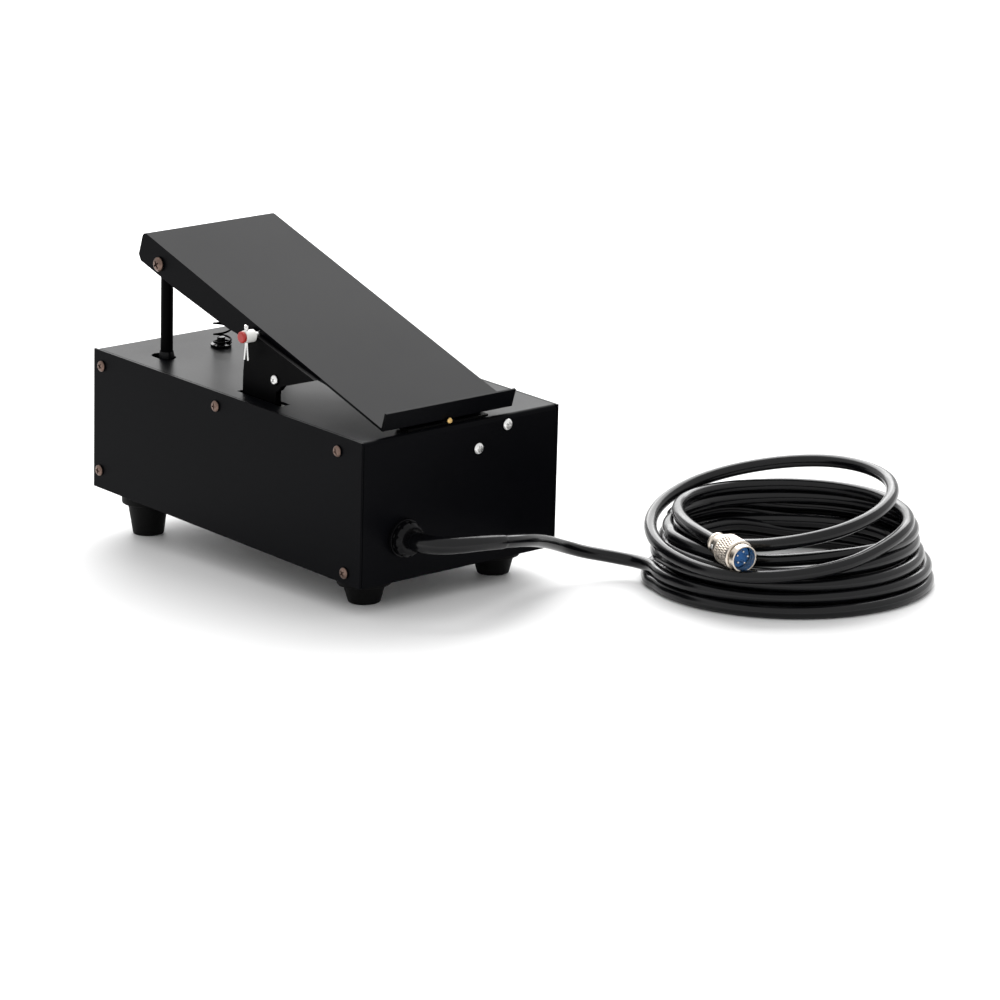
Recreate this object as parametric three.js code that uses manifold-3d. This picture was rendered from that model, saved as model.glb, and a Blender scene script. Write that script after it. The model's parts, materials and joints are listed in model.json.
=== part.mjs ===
// Foot pedal control on a lead: a sheet-metal box on four rubber feet, a sprung pedal hinged at
// its front edge, a toothed sector that turns a potentiometer, and a coiled lead with a round
// connector. Millimetres, +Z up, +X towards the end where the lead leaves, +Y to the far side.
// Origin: on the floor, under the middle of the pedal box.
import * as THREE from 'three';
import { mergeVertices } from 'three/addons/utils/BufferGeometryUtils.js';
import Module from 'manifold-3d';

const wasm = await Module();
wasm.setup();

// ---------------------------------------------------------------- driving dimensions
const GAP = 0.3;               // air left between pieces that touch
const CASE_LENGTH = 260;
const CASE_WIDTH = 148;
const CASE_HEIGHT = 87;
const SHEET = 1.6;             // thickness of the folded shell
const PLATE = 1.5;             // thickness of flat plates, the pedal and the base
const BEND = 3;                // outer radius of folded edges
const CASE_PITCH = 2.4;        // degrees, nose down: the rear feet are taller
const CASE_LIFT = 22.5;        // height of the middle of the box's underside
const CASE_SHIFT = -2.7;       // puts the tilted box's outline over the origin
const EDGE = { top: 12, ends: 16 };      // width of the shell's inturned edges
const TRAY_WALL = 16;

const HINGE = {
  x: 117, z: 90, pinR: 1.5, boreR: 1.9, knuckleR: 2.7, width: 60, knuckles: 5, thick: 1.3,
  baseFrom: 3.3, baseTo: 9.9, tabDepth: 1.5, tabHalf: 4.5, tabHeight: 2.3, leafFrom: -22, leafTo: -3.2,
};
const HINGE_SCREW = { r: 1.9, edge: 0.9, crownR: 1.3, height: 1.6, z: -0.5 };
const PEDAL = {
  slope: 17.05, y: -7.7, width: 97.2, top: 4.41, back: -232.9, front: 7.2,
  lip: 10, rearDepth: 18.5, midDepth: 15.8, rearTo: -195, midX: -140, taperEnd: -46,
};
const ROD = { x: -87.5, pivotZ: 145.5, r: 3.8, eyeR: 5.5, boreR: 2.5, inset: 4.1 };
const ROD_BOLT = { headR: 4.5, headH: 2.6, shankR: 2.1, length: 7.4 };
const SLEEVE = { r: 5, boreR: 4.2, bottom: 74.3, top: 91 };
const CROSSBAR = { width: 13, bottom: 66, top: 74 };
const ROD_TRAVEL_X = 5.8;      // how far the rods creep back as the pedal goes down
const ROD_SLOT_R = 5.8;        // half the width of the slots that the rods go through
const SECTOR = {
  outerR: 116.5, innerR: 84.5, y0: -60.3, y1: -56.6, teeth: 231, module: 1,
  lowAngle: 27, toothedTo: 8, meshAngle: 20, frontAngle: -2.5, rearAngle: -8,
  rearCorners: [[3.2, 125.6], [3, 113]],
  frontCorners: [[34.5, 94.5], [37.6, 97.8], [68.5, 108.2]],
};
const TOOTH = { root: 1.3, tip: 0.8, halfBase: 1.02, halfTip: 0.3 };
const ARM_PIN = { x: 10.5, z: 123, r: 2, boreR: 2.35, sleeveR: 3.8, sleeveLength: 7 };
const ARM_CAP = { r: 3.5, length: 2.2, chamfer: 0.7, depth: 1.3 };
const ARM_SCREW = { x: 31.5, z: 100.5, headR: 3, headH: 1.5, shankR: 1.5, length: 3.4, boreR: 1.9 };
const PINION = { teeth: 12, y0: -61.2, y1: -56.2, shaftR: 3, shaftEnd: -50.9, pressureAngle: 20 };
const ARM_SLOT = { x0: -1.5, x1: 40.5, y0: -63, y1: -56 };
const SPRING = { x: -90, y: -7.7, meanR: 3.9, wireR: 0.65, turns: 9, bottom: 89.6, top: 152.6 };
const SPRING_SEAT = { r: 6.5, thick: 1.6, spigotR: 2.7, tipR: 2.4, height: 6 };
const SPRING_CAP = { r: 6, bottom: 1.5, back: 0.6 };
const UP_STOP = { r: 6, near: -33, far: 17.6 };
const DOWN_STOP = { footR: 9, footTop: 5, postR: 5.5, postFrom: 6, top: 36.4 };
const POT = { r: 11.8, endR: 10.5, front: -50.5, shoulder: -34.5, back: -33 };
const POT_NUT = { r: 6.2, boreR: 3.5, front: -55.4, back: -52.6 };
const POT_BRACKET = { half: 13, front: -52.3, back: -50.8, footBack: -36, boreR: 4.2 };
const ARM_GUIDE = { sides: 4, faces: 3, bottom: 74 };
const SWITCH = {
  y: -9, halfL: 10, halfW: 5, above: 4.4, plungerR: 1.2, boreR: 1.6, boreEnd: 1.5, plungerEnd: 3.5,
};
const TERMINALS = { depth: 10, reach: 7, bottom: 61, holeDepth: 7 };
const GLAND = {
  y: -42.5, z: 26, flangeR: 11.3, capR: 10.4, threadR: 8, boreR: 4.6, end: 138.8,
  inner: 9, flange: 2.6, nutR: 12.5, nutThick: 5,
};
const CORD_R = 3.9;
// Where the lead runs from the gland to its coil, in the floor's frame.
const CORD_ROUTE = [
  [137.6, -42.5, 42.6], [147, -42.4, 42.9], [157.5, -39.8, 43.6], [166, -33, 44.4], [171, -22.5, 44.6],
  [172.5, -9.5, 43.5], [170.5, 5, 41.2], [165.5, 20, 38], [158.5, 35, 33.6], [152, 50, 28.2],
  [147, 65, 22.2], [148.5, 79, 17], [154, 91.5, 13.5], [161.5, 98.8, 11.7], [168, 101.7, 11.2],
];
const COIL = {
  x: 228, y: 169, outerR: 86.5, innerR: 54, height: 46, chamfer: 5, shoulderR: 84.5, shoulder: 32, topR: 74.5,
};
// The connector lies on the coil: middle of its length, and the way it points.
const PLUG = {
  x: 253, y: 98.6, z: 35.6, yaw: -12.5, nose: 4, ringR: 9.25, ringBoreR: 8.35, shellR: 8, clampR: 6.3,
  clampFrom: -17, clampTo: -8.3, shellFrom: -8, shellTo: 16, socketFloor: 3, insertTo: 9,
  ringFrom: -4, ringTo: 11,
};
const FOOT = { discR: 16, topR: 12.4, floorR: 9.4, recessR: 4.6, holeR: 2.6, rim: 3, seat: 2 };
const FEET = [
  { name: 'foot_rear_near', x: -103, y: -53, disc: 8 },
  { name: 'foot_rear_far', x: -103, y: 53, disc: 8 },
  { name: 'foot_front_near', x: 103, y: -49, disc: 6 },
  { name: 'foot_front_far', x: 103, y: 49, disc: 6 },
];
const SCREW = { headR: 3.4, headH: 1.7, shankR: 1.7, length: 4.6, boreR: 2.1 };
const SIDE_SCREWS = [
  { name: 'rear_top', x: -121.6, z: 77.5 },
  { name: 'middle_top', x: -7.1, z: 78.2 },
  { name: 'front_top', x: 108.3, z: 77.6 },
  { name: 'rear_bottom', x: -123.5, z: 11.4 },
  { name: 'front_bottom', x: 116.1, z: 6.6 },
];
const FRONT_SCREWS = [
  { name: 'lower', y: 12.5, z: 70.3 },
  { name: 'upper', y: 34.2, z: 81.3 },
];

const rad = THREE.MathUtils.degToRad;

// ---------------------------------------------------------------- materials
function material(color, roughness, metalness) {
  return new THREE.MeshStandardMaterial({ color, roughness, metalness });
}

const blackPaint = material(0x1d1d20, 0.42, 0.1);
const blackSteel = material(0x141416, 0.45, 0.5);
const rubber = material(0x0e0e0f, 0.8, 0);
const blackNylon = material(0x121316, 0.5, 0);
const screwSteel = material(0xb9a79c, 0.35, 0.9);
const brightSteel = material(0xd8d8d8, 0.25, 0.95);
const yellowZinc = material(0xc99a52, 0.4, 0.8);
const whiteNylon = material(0xe6e6e2, 0.5, 0);
const redPlastic = material(0xb0221c, 0.45, 0);
const cordBlack = material(0x151517, 0.55, 0);
const satinNickel = material(0xb7b2a6, 0.35, 0.9);
const blueInsert = material(0x2b4f86, 0.5, 0);

// ---------------------------------------------------------------- solids
function toSolid(geometry, matrix = new THREE.Matrix4()) {
  const copy = geometry.clone().applyMatrix4(matrix);
  copy.deleteAttribute('normal');
  copy.deleteAttribute('uv');
  const merged = mergeVertices(copy, 1e-4);
  return new wasm.Manifold(new wasm.Mesh({
    numProp: 3,
    vertProperties: merged.attributes.position.array,
    triVerts: new Uint32Array(merged.index.array),
  }));
}

function toGeometry(solid) {
  const mesh = solid.getMesh();
  const geometry = new THREE.BufferGeometry();
  geometry.setAttribute('position', new THREE.BufferAttribute(mesh.vertProperties, 3));
  geometry.setIndex(new THREE.BufferAttribute(mesh.triVerts, 1));
  geometry.computeVertexNormals();
  return geometry;
}

function join(...solids) {
  return solids.reduce((whole, piece) => whole.add(piece));
}

function cut(solid, ...tools) {
  return tools.reduce((left, tool) => left.subtract(tool), solid);
}

// A block between two opposite corners.
function block(x0, x1, y0, y1, z0, z1) {
  const geometry = new THREE.BoxGeometry(x1 - x0, y1 - y0, z1 - z0);
  return toSolid(geometry.translate((x0 + x1) / 2, (y0 + y1) / 2, (z0 + z1) / 2));
}

// Turns a shape made round or along +Z so that it lies along the named axis.
function along(axis) {
  if (axis === 'x') return new THREE.Matrix4().makeRotationY(Math.PI / 2);
  if (axis === 'y') return new THREE.Matrix4().makeRotationX(-Math.PI / 2);
  return new THREE.Matrix4();
}

// A round bar along an axis, from one station to another, centred at (x, y, z) across it.
function bar(axis, r, from, to, x, y, z, sides = 16) {
  const geometry = new THREE.CylinderGeometry(r, r, to - from, sides).rotateX(Math.PI / 2);
  const middle = (from + to) / 2;
  const place = new THREE.Matrix4().makeTranslation(
    axis === 'x' ? middle : x,
    axis === 'y' ? middle : y,
    axis === 'z' ? middle : z,
  );
  return toSolid(geometry, place.multiply(along(axis)));
}

// A turned piece: [radius, station] pairs swept round an axis through (x, y, z).
function turned(axis, profile, x, y, z, sides = 16) {
  const points = profile.map(([r, station]) => new THREE.Vector2(r, station));
  const geometry = new THREE.LatheGeometry(points, sides).rotateX(Math.PI / 2);
  return toSolid(geometry, new THREE.Matrix4().makeTranslation(x, y, z).multiply(along(axis)));
}

// A flat outline in the XZ plane, given as [x, z] pairs, made solid from y0 to y1.
function slab(outline, y0, y1) {
  const shape = new THREE.Shape(outline.map(([x, z]) => new THREE.Vector2(x, z)));
  const geometry = new THREE.ExtrudeGeometry(shape, { depth: y1 - y0, bevelEnabled: false });
  return toSolid(geometry, new THREE.Matrix4().makeRotationX(Math.PI / 2).setPosition(0, y1, 0));
}

// A slot with round ends through a level sheet, running along X.
function levelSlot(x0, x1, y, r, z0, z1) {
  return join(
    bar('z', r, z0, z1, x0 + r, y, 0),
    bar('z', r, z0, z1, x1 - r, y, 0),
    block(x0 + r, x1 - r, y - r, y + r, z0, z1),
  );
}

// ---------------------------------------------------------------- scene graph
const pedalControl = new THREE.Group();
const box = new THREE.Group();            // everything that is square to the tilted box
box.position.set(CASE_SHIFT, 0, CASE_LIFT);
box.rotation.y = rad(CASE_PITCH);
pedalControl.add(box);
const hingeFrame = new THREE.Group();     // origin on the pedal's hinge axis, square to the box
hingeFrame.position.set(HINGE.x, 0, HINGE.z);
box.add(hingeFrame);
const pedalFrame = new THREE.Group();     // the same origin, square to the pedal's top
pedalFrame.rotation.y = rad(PEDAL.slope);
hingeFrame.add(pedalFrame);

function addPart(parent, name, solid, look) {
  const mesh = new THREE.Mesh(toGeometry(solid), look);
  mesh.name = name;
  parent.add(mesh);
}

// ---------------------------------------------------------------- box
const halfL = CASE_LENGTH / 2;
const halfW = CASE_WIDTH / 2;
const innerHalfL = halfL - SHEET;
const ceiling = CASE_HEIGHT - SHEET;
const shellHalfW = halfW - PLATE - GAP;

// The shell's arch seen from the side: a flat top with rounded ends and two straight walls.
function archOutline(half, floor, height, r) {
  const points = [[-half, floor]];
  for (const side of [-1, 1]) {
    for (let i = 0; i <= 4; i += 1) {
      const turn = side < 0 ? i / 4 : 1 - i / 4;
      const angle = rad(90 * turn);
      points.push([side * (half - r + r * Math.cos(angle)), height - r + r * Math.sin(angle)]);
    }
  }
  points.push([half, floor]);
  return points;
}

function screwHoles(places, from, to) {
  return places.map(({ x, z }) => bar('y', SCREW.boreR, from, to, x, 0, z, 12));
}

function makeShell() {
  const outer = slab(archOutline(halfL, 0, CASE_HEIGHT, BEND), -shellHalfW, shellHalfW);
  const inside = shellHalfW - PLATE;
  const hollow = slab(archOutline(innerHalfL, -1, ceiling, BEND - SHEET), -inside, inside);
  const mouth = innerHalfL - EDGE.ends;
  const opening = block(-mouth, mouth, -halfW, halfW, -1, ceiling - EDGE.top);
  const below = ceiling - 1;
  const above = CASE_HEIGHT + 1;
  const slotBack = ROD.x - ROD_TRAVEL_X - ROD_SLOT_R;
  const topSlots = rodCentres().map((y) => (
    levelSlot(slotBack, ROD.x + ROD_SLOT_R, y, ROD_SLOT_R, below, above)
  ));
  const armSlot = block(ARM_SLOT.x0, ARM_SLOT.x1, ARM_SLOT.y0, ARM_SLOT.y1, below, above);
  const glandHole = bar('x', GLAND.threadR + 0.5, innerHalfL - 1, halfL + 1, 0, GLAND.y, GLAND.z, 20);
  const endHoles = FRONT_SCREWS.map(({ y, z }) => (
    bar('x', SCREW.boreR, innerHalfL - 1, halfL + 1, 0, y, z, 12)
  ));
  return cut(
    outer,
    hollow, opening, ...topSlots, armSlot, glandHole, ...endHoles,
    ...screwHoles(SIDE_SCREWS, -halfW, halfW),
  );
}

function makeSidePlate(side) {
  const faces = [side * halfW, side * (halfW - PLATE)].sort((a, b) => a - b);
  return cut(
    block(-halfL, halfL, faces[0], faces[1], 0, CASE_HEIGHT),
    ...screwHoles(SIDE_SCREWS, faces[0] - 1, faces[1] + 1),
  );
}

// The base is a shallow tray whose side walls stand just inside the shell's edges.
function makeBase() {
  const half = innerHalfL - GAP;
  const wall = shellHalfW - PLATE - GAP;
  const walls = [-1, 1].map((side) => {
    const faces = [side * wall, side * (wall - PLATE)].sort((a, b) => a - b);
    return block(-half, half, faces[0], faces[1], 0, TRAY_WALL);
  });
  return cut(
    join(block(-half, half, -wall, wall, 0, PLATE), ...walls),
    ...screwHoles(SIDE_SCREWS.filter(({ z }) => z < TRAY_WALL), -halfW, halfW),
    ...FEET.map(({ x, y }) => bar('z', FOOT.holeR, -1, PLATE + 1, x, y, 0, 12)),
  );
}

// Pan-head screw along an axis. sign is the way that its head faces.
function panScrew(axis, sign, face, x, y, z, { headR, headH, shankR, length } = SCREW) {
  const profile = [
    [0, -length], [shankR, -length], [shankR, 0], [headR, 0],
    [headR, headH * 0.45], [headR * 0.72, headH * 0.9], [0, headH],
  ];
  const screw = turned(axis, profile, 0, 0, 0, 12);
  const facing = sign > 0 ? screw : screw.rotate(axis === 'z' ? [180, 0, 0] : [0, 0, 180]);
  const at = { x: [face, y, z], y: [x, face, z], z: [x, y, face] }[axis];
  return facing.translate(at);
}

function addBox() {
  addPart(box, 'case_shell', makeShell(), blackPaint);
  addPart(box, 'side_plate_near', makeSidePlate(-1), blackPaint);
  addPart(box, 'side_plate_far', makeSidePlate(1), blackPaint);
  addPart(box, 'base_tray', makeBase(), blackPaint);
  for (const { name, x, z } of SIDE_SCREWS) {
    for (const [side, sign] of [['near', -1], ['far', 1]]) {
      const screw = panScrew('y', sign, sign * (halfW + GAP), x, 0, z);
      addPart(box, `side_screw_${name}_${side}`, screw, screwSteel);
    }
  }
  for (const { name, y, z } of FRONT_SCREWS) {
    addPart(box, `front_screw_${name}`, panScrew('x', 1, halfL + GAP, 0, y, z), brightSteel);
  }
}

// ---------------------------------------------------------------- feet
// Point of the box's own frame, moved into the frame that stands on the floor.
function onFloorFrame(x, y, z) {
  box.updateMatrixWorld(true);
  return new THREE.Vector3(x, y, z).applyMatrix4(box.matrixWorld);
}

// A stepped rubber foot. Its top is trimmed to the tilted underside of the tray.
function makeFoot({ x, y, disc }) {
  const at = onFloorFrame(x, y, 0);
  const { discR, topR, floorR, recessR, holeR } = FOOT;
  const step = at.z - disc;
  const rim = at.z + FOOT.rim;
  const seat = step + FOOT.seat;
  const body = turned('z', [
    [recessR, 0], [floorR, 0], [topR, step], [discR, step], [discR, rim],
    [holeR, rim], [holeR, seat], [recessR, seat], [recessR, 0],
  ], at.x, at.y, 0, 24);
  const height = 40;
  const above = new THREE.BoxGeometry(5 * discR, 5 * discR, height);
  above.translate(x, y, height / 2 - GAP);
  return cut(body, toSolid(above, box.matrixWorld));
}

function addFeet() {
  for (const foot of FEET) {
    addPart(pedalControl, foot.name, makeFoot(foot), rubber);
  }
}

// ---------------------------------------------------------------- pedal
const pedalUnder = PEDAL.top - PLATE;
const pedalNear = PEDAL.y - PEDAL.width / 2;
const pedalFar = PEDAL.y + PEDAL.width / 2;

// Centre lines of the two lift rods, just inside the pedal's side flanges.
function rodCentres() {
  return [pedalNear + PLATE + ROD.inset, pedalFar - PLATE - ROD.inset];
}

// Point of the box's frame seen from the pedal's own tilted frame.
function inPedalFrame(x, z) {
  const point = new THREE.Vector3(x - HINGE.x, 0, z - HINGE.z);
  point.applyAxisAngle(new THREE.Vector3(0, 1, 0), -rad(PEDAL.slope));
  return { x: point.x, z: point.z };
}

function makePedal() {
  const { back, front, top } = PEDAL;
  const lipFace = front + PLATE;
  const lipTop = top + PEDAL.lip;
  const heel = top - PEDAL.rearDepth;
  const outline = [
    [back + BEND, top], [back + 1, top - 1], [back, top - BEND], [back, heel + BEND],
    [back + BEND, heel], [PEDAL.rearTo, heel + 0.3], [PEDAL.midX, top - PEDAL.midDepth],
    [PEDAL.taperEnd, pedalUnder], [lipFace, pedalUnder], [lipFace, lipTop], [front, lipTop], [front, top],
  ];
  const whole = slab(outline, pedalNear, pedalFar);
  const inside = [pedalNear + PLATE, pedalFar - PLATE];
  const under = block(back + PLATE, PEDAL.taperEnd, inside[0], inside[1], -2 * PEDAL.rearDepth, pedalUnder);
  const bolt = inPedalFrame(ROD.x, ROD.pivotZ);
  const boltHoles = bar('y', ROD.boreR, pedalNear - 1, pedalFar + 1, bolt.x, 0, bolt.z, 12);
  const pin = inPedalFrame(ARM_PIN.x, ARM_PIN.z);
  const pinHole = bar('y', ARM_PIN.boreR, pedalNear - 1, inside[0] + 1.5, pin.x, 0, pin.z, 12);
  return cut(whole, under, boltHoles, pinHole);
}

// ---------------------------------------------------------------- toothed arm
const pitchR = SECTOR.teeth * SECTOR.module / 2;
const meshR = pitchR + PINION.teeth * SECTOR.module / 2;

// A place at radius r and angle below level, behind the hinge axis.
function behindHinge(r, degreesBelow) {
  return [-r * Math.cos(rad(degreesBelow)), -r * Math.sin(rad(degreesBelow))];
}

function arc(r, from, to, steps) {
  const points = [];
  for (let i = 0; i <= steps; i += 1) points.push(behindHinge(r, from + (to - from) * i / steps));
  return points;
}

// Where something given in the box's frame lies as seen from the hinge axis.
function fromHinge([x, z]) {
  return [x - HINGE.x, z - HINGE.z];
}

const [pinX, pinZ] = fromHinge([ARM_PIN.x, ARM_PIN.z]);
const [armScrewX, armScrewZ] = fromHinge([ARM_SCREW.x, ARM_SCREW.z]);

// Straight-sided teeth of module 1 round the lower half of the arm's outer edge.
function sectorTeeth() {
  const pitch = 360 / SECTOR.teeth;
  const points = [];
  const first = Math.ceil((SECTOR.toothedTo - SECTOR.meshAngle) / pitch - 0.5);
  const last = Math.floor((SECTOR.lowAngle - SECTOR.meshAngle) / pitch - 0.5);
  const degrees = (mm) => mm / pitchR * 180 / Math.PI;
  const rootR = pitchR - TOOTH.root;
  const tipR = pitchR + TOOTH.tip;
  for (let k = first; k <= last; k += 1) {
    const middle = SECTOR.meshAngle + (k + 0.5) * pitch;
    points.push(behindHinge(rootR, middle - degrees(TOOTH.halfBase)));
    points.push(behindHinge(tipR, middle - degrees(TOOTH.halfTip)));
    points.push(behindHinge(tipR, middle + degrees(TOOTH.halfTip)));
    points.push(behindHinge(rootR, middle + degrees(TOOTH.halfBase)));
  }
  return points;
}

function makeArm() {
  const outline = [
    ...SECTOR.rearCorners.map(fromHinge),
    ...arc(SECTOR.outerR, SECTOR.rearAngle, SECTOR.toothedTo - 0.6, 5),
    ...sectorTeeth(),
    ...arc(SECTOR.innerR, SECTOR.lowAngle, SECTOR.frontAngle, 8),
    ...SECTOR.frontCorners.map(fromHinge),
  ];
  const from = SECTOR.y0 - 1;
  const to = SECTOR.y1 + 1;
  return cut(
    slab(outline, SECTOR.y0, SECTOR.y1),
    bar('y', ARM_PIN.boreR, from, to, pinX, 0, pinZ, 12),
    bar('y', ARM_SCREW.boreR, from, to, armScrewX, 0, armScrewZ, 12),
  );
}

// Twelve involute teeth: each flank unwinds from the base circle.
function makePinion() {
  const pinionR = PINION.teeth * SECTOR.module / 2;
  const baseR = pinionR * Math.cos(rad(PINION.pressureAngle));
  const rootR = pinionR - 1.2;
  const tipR = pinionR + 0.85;
  const stations = [rootR, baseR, pinionR + 0.1, pinionR + 0.5, tipR];
  const unwind = (r) => Math.sqrt(Math.max(0, (r / baseR) ** 2 - 1)) - Math.acos(Math.min(1, baseR / r));
  const halfPitch = (Math.PI / 2 - 0.16) / PINION.teeth;
  const facing = rad(180 + SECTOR.meshAngle) + Math.PI;
  const points = [];
  for (let k = 0; k < PINION.teeth; k += 1) {
    const middle = facing + 2 * Math.PI * k / PINION.teeth;
    const flank = stations.map((r) => [r, halfPitch + unwind(pinionR) - unwind(r)]);
    for (const [r, half] of flank) points.push([r, middle - half]);
    for (const [r, half] of flank.reverse()) points.push([r, middle + half]);
  }
  const centre = behindHinge(meshR, SECTOR.meshAngle);
  const outline = points.map(([r, a]) => [centre[0] + r * Math.cos(a), centre[1] + r * Math.sin(a)]);
  const shaft = bar('y', PINION.shaftR, PINION.y1 - 1, PINION.shaftEnd, centre[0], 0, centre[1], 16);
  return join(slab(outline, PINION.y0, PINION.y1), shaft);
}

function addPedal() {
  addPart(pedalFrame, 'pedal_plate', makePedal(), blackPaint);
  addPart(hingeFrame, 'sector_arm', makeArm(), blackSteel);
  const sleeveEnd = SECTOR.y0 - GAP - ARM_PIN.sleeveLength;
  const pinEnd = pedalNear + PLATE + 1.5;
  const pin = bar('y', ARM_PIN.r, sleeveEnd - ARM_CAP.depth, pinEnd, pinX, 0, pinZ, 12);
  addPart(hingeFrame, 'arm_pin', pin, brightSteel);
  const sleeve = cut(
    bar('y', ARM_PIN.sleeveR, sleeveEnd, SECTOR.y0 - GAP, pinX, 0, pinZ),
    bar('y', ARM_PIN.boreR, sleeveEnd - 1, SECTOR.y0, pinX, 0, pinZ, 12),
  );
  addPart(hingeFrame, 'arm_pin_sleeve', sleeve, whiteNylon);
  const { r, length, chamfer, depth } = ARM_CAP;
  const capProfile = [[0, -length], [r - chamfer, -length], [r, chamfer - length], [r, 0], [0, 0]];
  const cap = cut(
    turned('y', capProfile, pinX, sleeveEnd - GAP, pinZ),
    bar('y', ARM_PIN.boreR, sleeveEnd - depth - GAP, sleeveEnd, pinX, 0, pinZ, 12),
  );
  addPart(hingeFrame, 'arm_pin_cap', cap, redPlastic);
  const screw = panScrew('y', -1, SECTOR.y0 - GAP, armScrewX, 0, armScrewZ, ARM_SCREW);
  addPart(hingeFrame, 'arm_screw', screw, brightSteel);
}

// ---------------------------------------------------------------- hinge
function knuckleSpan(i) {
  const step = HINGE.width / HINGE.knuckles;
  const y0 = PEDAL.y - HINGE.width / 2 + i * step;
  return [y0 + GAP / 2, y0 + step - GAP / 2];
}

function addHinge() {
  const { knuckleR, baseFrom, baseTo, tabHalf, leafFrom, leafTo } = HINGE;
  const fixed = [0, 2, 4].map(knuckleSpan);
  const moving = [1, 3].map(knuckleSpan);
  const near = PEDAL.y - HINGE.width / 2;
  const far = PEDAL.y + HINGE.width / 2;
  const bore = bar('y', HINGE.boreR, near - 1, far + 1, 0, 0, 0, 16);
  const floor = -HINGE.z + CASE_HEIGHT + GAP;
  const baseTop = floor + HINGE.thick;
  const tabTop = floor + HINGE.tabHeight;
  const base = join(
    block(baseFrom, baseTo, near, far, floor, baseTop),
    block(baseTo - HINGE.tabDepth, baseTo, PEDAL.y - tabHalf, PEDAL.y + tabHalf, floor, tabTop),
    ...fixed.map(([y0, y1]) => bar('y', knuckleR, y0, y1, 0, 0, 0)),
    ...fixed.map(([y0, y1]) => block(0, baseFrom + 0.7, y0, y1, floor, baseTop)),
  );
  addPart(hingeFrame, 'hinge_base', cut(base, bore), blackSteel);
  const leafTop = pedalUnder - GAP;
  const leaf = join(
    block(leafFrom, leafTo, near, far, HINGE.thick, leafTop),
    ...moving.map(([y0, y1]) => bar('y', knuckleR, y0, y1, 0, 0, 0)),
    ...moving.map(([y0, y1]) => block(leafTo - 0.8, 0, y0, y1, HINGE.thick, leafTop)),
  );
  addPart(pedalFrame, 'hinge_leaf', cut(leaf, bore), blackSteel);
  addPart(hingeFrame, 'hinge_pin', bar('y', HINGE.pinR, near - 2, far + 2, 0, 0, 0), brightSteel);
  const { r, edge, crownR, height, z } = HINGE_SCREW;
  const profile = [[0, 0], [r, 0], [r, edge], [crownR, height], [0, height]];
  addPart(hingeFrame, 'hinge_screw', turned('x', profile, baseTo + GAP, PEDAL.y, z, 12), yellowZinc);
}

// ---------------------------------------------------------------- lift rods
function makeRod(y) {
  const eye = bar('y', ROD.eyeR, y - 3, y + 3, ROD.x, 0, ROD.pivotZ);
  const stem = bar('z', ROD.r, CROSSBAR.top + GAP, ROD.pivotZ, ROD.x, y, 0);
  return cut(join(eye, stem), bar('y', ROD.boreR, y - ROD.eyeR, y + ROD.eyeR, ROD.x, 0, ROD.pivotZ, 12));
}

function makeSleeve(y) {
  return turned('z', [
    [SLEEVE.boreR, SLEEVE.bottom], [SLEEVE.r, SLEEVE.bottom], [SLEEVE.r, SLEEVE.top - 4],
    [SLEEVE.r - 0.8, SLEEVE.top], [SLEEVE.boreR, SLEEVE.top], [SLEEVE.boreR, SLEEVE.bottom],
  ], ROD.x, y, 0);
}

function makeRodBolt(sign) {
  const face = sign < 0 ? pedalNear - GAP : pedalFar + GAP;
  return panScrew('y', sign, face, ROD.x, 0, ROD.pivotZ, ROD_BOLT);
}

function addRods() {
  const [near, far] = rodCentres();
  addPart(box, 'lift_rod_near', makeRod(near), blackSteel);
  addPart(box, 'lift_rod_far', makeRod(far), blackSteel);
  addPart(box, 'rod_sleeve_near', makeSleeve(near), blackNylon);
  addPart(box, 'rod_sleeve_far', makeSleeve(far), blackNylon);
  addPart(box, 'rod_bolt_near', makeRodBolt(-1), screwSteel);
  addPart(box, 'rod_bolt_far', makeRodBolt(1), screwSteel);
  const halfWidth = CROSSBAR.width / 2;
  const crossbar = block(
    ROD.x - halfWidth, ROD.x + halfWidth, near - halfWidth, far + halfWidth, CROSSBAR.bottom, CROSSBAR.top,
  );
  addPart(box, 'crossbar', crossbar, blackSteel);
}

// ---------------------------------------------------------------- spring and stops
class Helix extends THREE.Curve {
  getPoint(t, target = new THREE.Vector3()) {
    const angle = 2 * Math.PI * SPRING.turns * t;
    return target.set(
      SPRING.x + SPRING.meanR * Math.cos(angle),
      SPRING.y + SPRING.meanR * Math.sin(angle),
      THREE.MathUtils.lerp(SPRING.bottom, SPRING.top, t),
    );
  }
}

// A closed tube of the given section radius along a curve.
function tube(curve, r, sides, steps) {
  const section = new THREE.Shape();
  for (let i = 0; i < sides; i += 1) {
    const angle = 2 * Math.PI * i / sides;
    const method = i === 0 ? 'moveTo' : 'lineTo';
    section[method](r * Math.cos(angle), r * Math.sin(angle));
  }
  return toSolid(new THREE.ExtrudeGeometry(section, { steps, extrudePath: curve, bevelEnabled: false }));
}

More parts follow.
